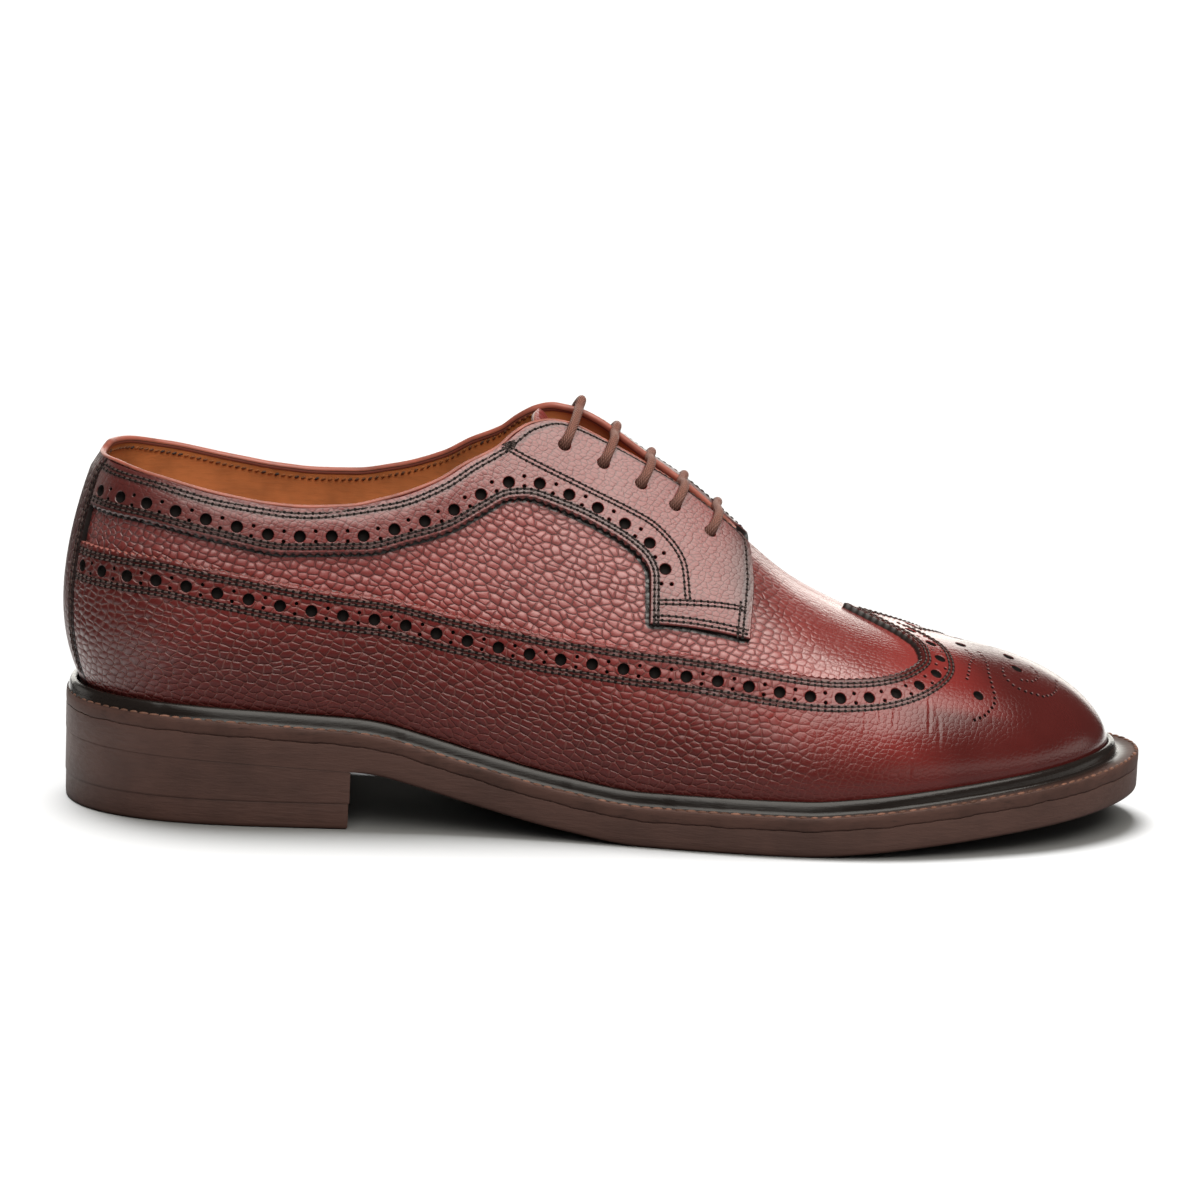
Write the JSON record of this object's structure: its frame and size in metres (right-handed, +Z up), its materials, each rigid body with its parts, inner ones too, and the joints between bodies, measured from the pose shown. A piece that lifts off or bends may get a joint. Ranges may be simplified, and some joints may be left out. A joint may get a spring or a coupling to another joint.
{
  "type": "brogue derby shoe",
  "caption": "Right brogue derby: hollow oxblood leather upper with long wing and collar band, open lacing, storm welt, rubber sole and stacked heel.",
  "frame": {"origin": "middle of the shoe's box at floor level", "axes": "+X towards the toe, +Y towards the inner (medial) side, +Z up"},
  "size_m": [0.3018, 0.1072, 0.1128],
  "materials": {
    "oxblood_leather": "pebble grain, satin polish",
    "burnished_leather": "fine grain, burnished to a gloss at the toe",
    "tan_leather": "smooth, matte",
    "welt_leather": "waxed, dark brown",
    "sole_rubber": "matte",
    "heel_leather": "waxed, satin",
    "lace_cotton": "round waxed cord"
  },
  "bodies": {
    "root": {"upper": "oxblood_leather", "wing": "burnished_leather", "eyestay_lateral": "oxblood_leather", "eyestay_medial": "oxblood_leather", "back_strip": "oxblood_leather", "tongue": "oxblood_leather", "insole": "tan_leather", "storm_welt": "welt_leather", "outsole": "sole_rubber", "heel_stack": "heel_leather", "heel_top_piece": "sole_rubber", "lace_bar_1": "lace_cotton", "lace_bar_2": "lace_cotton", "lace_bar_3": "lace_cotton", "lace_bar_4": "lace_cotton", "lace_bar_5": "lace_cotton"}
  },
  "joints": []
}
